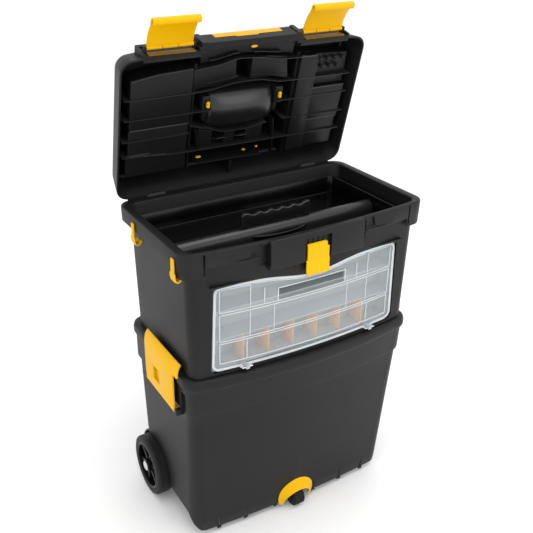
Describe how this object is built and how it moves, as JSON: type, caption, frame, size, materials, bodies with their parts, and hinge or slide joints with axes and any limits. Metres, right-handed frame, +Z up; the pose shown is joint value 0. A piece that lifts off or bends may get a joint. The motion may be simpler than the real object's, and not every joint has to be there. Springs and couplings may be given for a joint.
{
  "type": "rolling tool box",
  "caption": "Two-part rolling tool box with hinged lid, lift-out tray, front organiser, rear wheels, a front wheel and a pull handle.",
  "frame": {"origin": "on the floor, midway between the sides, under the middle of the tool box's rim", "axes": "+X to the right seen from the front, +Y to the back, +Z up"},
  "size_m": [0.464, 0.3475, 0.8779],
  "materials": {
    "black_plastic": "fine-grained moulded black plastic",
    "yellow_plastic": "satin moulded yellow plastic",
    "clear_plastic": "cloudy translucent plastic",
    "steel": "zinc-plated steel",
    "aluminium_tube": "satin tube",
    "tyre": "hard black rubber"
  },
  "bodies": {
    "bin": {"bin_shell": "black_plastic", "bin_skirt": "black_plastic", "bin_rim": "black_plastic", "front_wheel_bracket": "black_plastic", "front_wheel_pin": "steel", "wheel_hood": "yellow_plastic", "axle": "steel", "axle_cap_left": "steel", "axle_cap_right": "steel", "side_latch_pin_left": "steel", "side_latch_pin_right": "steel", "handle_sleeve_left": "steel", "handle_sleeve_right": "steel", "handle_bracket_low": "black_plastic", "handle_bracket_high": "black_plastic"},
    "wheel_left": {"tyre_left": "tyre", "wheel_hub_left": "black_plastic"},
    "wheel_right": {"tyre_right": "tyre", "wheel_hub_right": "black_plastic"},
    "front_wheel": {"front_roller": "tyre"},
    "side_latch_left": {"side_latch_left": "yellow_plastic"},
    "side_latch_right": {"side_latch_right": "yellow_plastic"},
    "pull_handle": {"pull_tube_left": "aluminium_tube", "pull_tube_right": "aluminium_tube", "pull_grip": "black_plastic"},
    "toolbox": {"toolbox_shell": "black_plastic", "toolbox_rim": "black_plastic", "organiser_bay": "black_plastic", "lid_hinge_pin_left": "steel", "lid_hinge_pin_right": "steel", "tool_hook_front_left": "yellow_plastic", "tool_hook_front_right": "yellow_plastic", "tool_hook_back_left": "yellow_plastic", "tool_hook_back_right": "yellow_plastic"},
    "organiser_latch": {"organiser_latch": "yellow_plastic"},
    "organiser": {"organiser_case": "clear_plastic", "cover_pin_left": "steel", "cover_pin_right": "steel", "divider_1": "yellow_plastic", "divider_2": "yellow_plastic", "divider_3": "yellow_plastic", "divider_4": "yellow_plastic", "divider_5": "yellow_plastic", "divider_6": "yellow_plastic"},
    "organiser_cover": {"organiser_cover": "clear_plastic"},
    "tray": {"tray": "black_plastic", "tray_handle": "black_plastic"},
    "lid": {"lid_shell": "black_plastic", "lid_liner_left": "black_plastic", "lid_liner_right": "black_plastic", "lid_front_trim": "yellow_plastic", "lid_latch_pin_left": "steel", "lid_latch_pin_right": "steel", "carry_pin_left": "steel", "carry_pin_right": "steel"},
    "lid_latch_left": {"lid_latch_left": "yellow_plastic"},
    "lid_latch_right": {"lid_latch_right": "yellow_plastic"},
    "carry_handle": {"carry_handle": "black_plastic"}
  },
  "joints": [
    {"name": "toolbox_lift", "type": "slide", "parent": "bin", "child": "toolbox", "axis": [0, 0, 1], "range_m": [0, 0.15]},
    {"name": "wheel_left_spin", "type": "hinge", "parent": "bin", "child": "wheel_left", "pos_m": [-0.2185, 0.0686, 0.0575], "axis": [1, 0, 0], "continuous": true},
    {"name": "wheel_right_spin", "type": "hinge", "parent": "bin", "child": "wheel_right", "pos_m": [0.2185, 0.0686, 0.0575], "axis": [1, 0, 0], "continuous": true},
    {"name": "front_wheel_spin", "type": "hinge", "parent": "bin", "child": "front_wheel", "pos_m": [0, -0.099, 0.0205], "axis": [1, 0, 0], "continuous": true},
    {"name": "side_latch_left_turn", "type": "hinge", "parent": "bin", "child": "side_latch_left", "pos_m": [-0.221, -0.016, 0.278], "axis": [0, -1, 0], "range_deg": [0, 60]},
    {"name": "side_latch_right_turn", "type": "hinge", "parent": "bin", "child": "side_latch_right", "pos_m": [0.221, -0.016, 0.278], "axis": [0, 1, 0], "range_deg": [0, 60]},
    {"name": "pull_handle_slide", "type": "slide", "parent": "bin", "child": "pull_handle", "axis": [0, 0.1097, 0.994], "range_m": [0, 0.36]},
    {"name": "organiser_out", "type": "slide", "parent": "toolbox", "child": "organiser", "axis": [0, -1, 0], "range_m": [0, 0.08]},
    {"name": "organiser_cover_turn", "type": "hinge", "parent": "organiser", "child": "organiser_cover", "pos_m": [0, -0.13, 0.3634], "axis": [1, 0, 0], "range_deg": [0, 80]},
    {"name": "organiser_latch_slide", "type": "slide", "parent": "toolbox", "child": "organiser_latch", "axis": [0, 0, 1], "range_m": [-0.006, 0.01]},
    {"name": "tray_lift", "type": "slide", "parent": "toolbox", "child": "tray", "axis": [0, 0, 1], "range_m": [0, 0.12]},
    {"name": "lid_hinge", "type": "hinge", "parent": "toolbox", "child": "lid", "pos_m": [0, 0.124, 0.576], "axis": [-1, 0, 0], "range_deg": [-75, 15]},
    {"name": "lid_latch_left_turn", "type": "hinge", "parent": "lid", "child": "lid_latch_left", "pos_m": [-0.14, 0.07242, 0.83032], "axis": [-1, 0, 0], "range_deg": [-72, 30]},
    {"name": "lid_latch_right_turn", "type": "hinge", "parent": "lid", "child": "lid_latch_right", "pos_m": [0.14, 0.07242, 0.83032], "axis": [-1, 0, 0], "range_deg": [-72, 30]},
    {"name": "carry_handle_turn", "type": "hinge", "parent": "lid", "child": "carry_handle", "pos_m": [0, 0.13627, 0.74079], "axis": [-1, 0, 0], "range_deg": [0, 90]}
  ]
}
